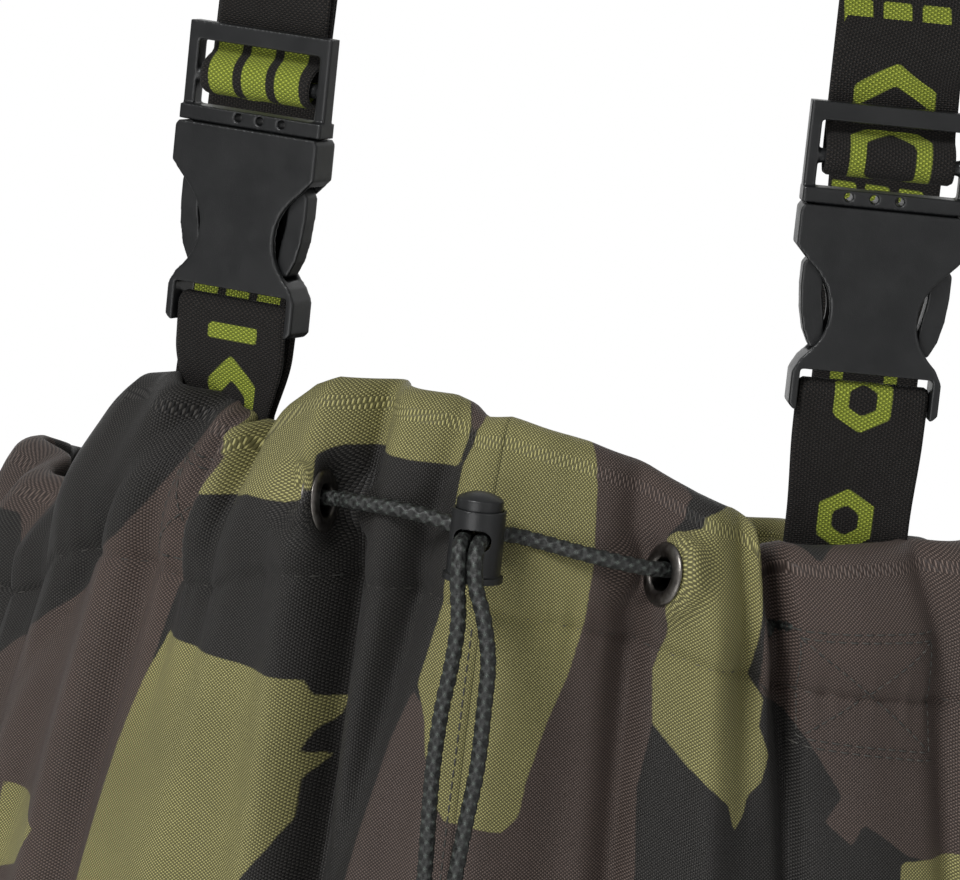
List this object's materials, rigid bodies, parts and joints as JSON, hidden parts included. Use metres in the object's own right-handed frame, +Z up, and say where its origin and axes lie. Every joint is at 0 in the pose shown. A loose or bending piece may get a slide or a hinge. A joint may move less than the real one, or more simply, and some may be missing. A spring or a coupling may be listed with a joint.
{
  "type": "chest waders",
  "caption": "Camouflage cloth chest waders with bonded boots, a drawcord hem with cord lock, and elastic braces with side-release buckles.",
  "frame": {"origin": "midway between the tops of the two braces, where a hanger or the shoulders carry the waders", "axes": "+Z up, the front faces -Y, the wearer's left is +X"},
  "size_m": [0.4268, 0.3279, 1.6219],
  "materials": {
    "camo_cloth": "matte",
    "webbing": "matte",
    "cord_braid": "satin",
    "buckle_plastic": "satin",
    "lock_plastic": "satin",
    "eyelet_metal": "satin",
    "spring_steel": "gloss",
    "boot_pvc": "satin",
    "sole_rubber": "matte",
    "insole_felt": "matte",
    "tape_rubber": "satin"
  },
  "bodies": {
    "root": {"bib_front_left": "camo_cloth", "bib_front_right": "camo_cloth", "bib_back_left": "camo_cloth", "bib_back_right": "camo_cloth", "crotch_gusset": "camo_cloth", "eyelet_left": "eyelet_metal", "eyelet_right": "eyelet_metal", "eyelet_washer_left": "eyelet_metal", "eyelet_washer_right": "eyelet_metal", "drawcord_in_casing": "cord_braid", "drawcord_left": "cord_braid", "drawcord_right": "cord_braid", "front_strap_left": "webbing", "front_strap_right": "webbing", "buckle_housing_left": "buckle_plastic", "buckle_housing_right": "buckle_plastic", "brace_left": "webbing", "brace_right": "webbing"},
    "cord_lock": {"cord_lock_barrel": "lock_plastic", "cord_lock_spring": "spring_steel", "drawcord_knot_left": "cord_braid", "drawcord_knot_right": "cord_braid"},
    "cord_lock_button": {"cord_lock_button": "lock_plastic"},
    "buckle_frame_left": {"buckle_frame_left": "buckle_plastic"},
    "prong_outer_left": {"prong_outer_left": "buckle_plastic"},
    "prong_inner_left": {"prong_inner_left": "buckle_plastic"},
    "leg_upper_left": {"leg_upper_left": "camo_cloth"},
    "leg_lower_left": {"leg_lower_left": "camo_cloth", "boot_upper_left": "boot_pvc", "boot_sole_left": "sole_rubber", "boot_insole_left": "insole_felt", "boot_seam_tape_left": "tape_rubber"},
    "buckle_frame_right": {"buckle_frame_right": "buckle_plastic"},
    "prong_outer_right": {"prong_outer_right": "buckle_plastic"},
    "prong_inner_right": {"prong_inner_right": "buckle_plastic"},
    "leg_upper_right": {"leg_upper_right": "camo_cloth"},
    "leg_lower_right": {"leg_lower_right": "camo_cloth", "boot_upper_right": "boot_pvc", "boot_sole_right": "sole_rubber", "boot_insole_right": "insole_felt", "boot_seam_tape_right": "tape_rubber"}
  },
  "joints": [
    {"name": "buckle_release_left", "type": "slide", "parent": "root", "child": "buckle_frame_left", "axis": [0, 0, 1], "range_m": [0, 0.045], "deforming": ["brace_left"]},
    {"name": "prong_squeeze_outer_left", "type": "hinge", "parent": "buckle_frame_left", "child": "prong_outer_left", "pos_m": [0.10942, -0.06587, -0.234], "axis": [-0.2756, 0.9613, 0], "range_deg": [0, 6], "stiffness_Nm_per_rad": 0.6},
    {"name": "prong_squeeze_inner_left", "type": "hinge", "parent": "buckle_frame_left", "child": "prong_inner_left", "pos_m": [0.08058, -0.07414, -0.234], "axis": [0.2756, -0.9613, 0], "range_deg": [0, 6], "stiffness_Nm_per_rad": 0.6},
    {"name": "hip_left", "type": "hinge", "parent": "root", "child": "leg_upper_left", "pos_m": [0.107, 0, -0.79], "axis": [-1, 0, 0], "range_deg": [-15, 25]},
    {"name": "knee_left", "type": "hinge", "parent": "leg_upper_left", "child": "leg_lower_left", "pos_m": [0.107, 0, -1.12], "axis": [1, 0, 0], "range_deg": [0, 45]},
    {"name": "buckle_release_right", "type": "slide", "parent": "root", "child": "buckle_frame_right", "axis": [0, 0, 1], "range_m": [0, 0.045], "deforming": ["brace_right"]},
    {"name": "prong_squeeze_outer_right", "type": "hinge", "parent": "buckle_frame_right", "child": "prong_outer_right", "pos_m": [-0.10942, -0.06587, -0.234], "axis": [-0.2756, -0.9613, 0], "range_deg": [0, 6], "stiffness_Nm_per_rad": 0.6},
    {"name": "prong_squeeze_inner_right", "type": "hinge", "parent": "buckle_frame_right", "child": "prong_inner_right", "pos_m": [-0.08058, -0.07414, -0.234], "axis": [0.2756, 0.9613, 0], "range_deg": [0, 6], "stiffness_Nm_per_rad": 0.6},
    {"name": "hip_right", "type": "hinge", "parent": "root", "child": "leg_upper_right", "pos_m": [-0.107, 0, -0.79], "axis": [-1, 0, 0], "range_deg": [-15, 25]},
    {"name": "knee_right", "type": "hinge", "parent": "leg_upper_right", "child": "leg_lower_right", "pos_m": [-0.107, 0, -1.12], "axis": [1, 0, 0], "range_deg": [0, 45]},
    {"name": "drawcord_pull", "type": "slide", "parent": "root", "child": "cord_lock", "axis": [0, 0, -1], "range_m": [0, 0.04], "deforming": ["drawcord_left", "drawcord_right"]},
    {"name": "lock_button_press", "type": "slide", "parent": "cord_lock", "child": "cord_lock_button", "axis": [0, 0, -1], "range_m": [0, 0.004], "stiffness_N_per_m": 800, "deforming": ["cord_lock_spring"]}
  ],
  "couplings": [
    {"joint": "prong_squeeze_inner_left", "follows": "prong_squeeze_outer_left", "ratio": 1},
    {"joint": "prong_squeeze_inner_right", "follows": "prong_squeeze_outer_right", "ratio": 1}
  ]
}
